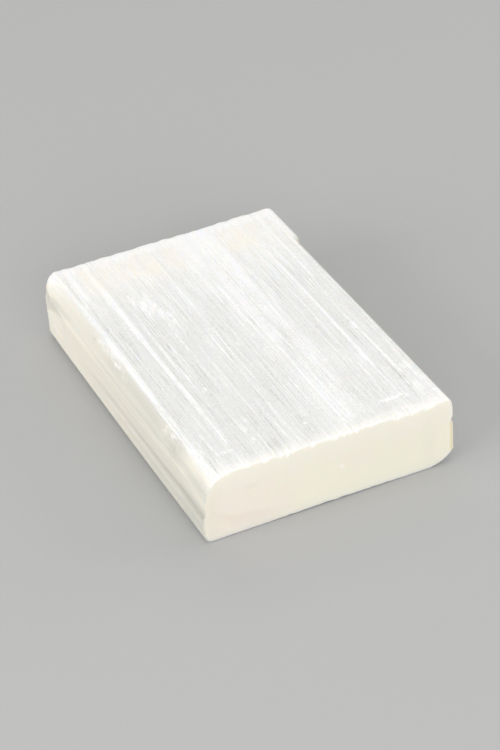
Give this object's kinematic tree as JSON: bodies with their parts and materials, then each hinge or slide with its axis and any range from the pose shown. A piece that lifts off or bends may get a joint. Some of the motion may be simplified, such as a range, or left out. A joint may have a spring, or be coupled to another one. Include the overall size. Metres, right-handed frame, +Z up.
{
  "type": "selenite slab",
  "caption": "Flat block of milky white satin-spar selenite, sawn square across its lengthwise fibres, with worn edges.",
  "frame": {"origin": "under the middle of the slab, on the plane of the face it rests on", "axes": "+Y along the fibres, the slab's longest side, from the front sawn end to the back one; +X across the slab, to the side with the shoulder; +Z up through its thickness"},
  "size_m": [0.0659, 0.1, 0.0184],
  "materials": {
    "satin_spar": "satin"
  },
  "bodies": {
    "root": {"selenite_slab": "satin_spar"}
  },
  "joints": []
}
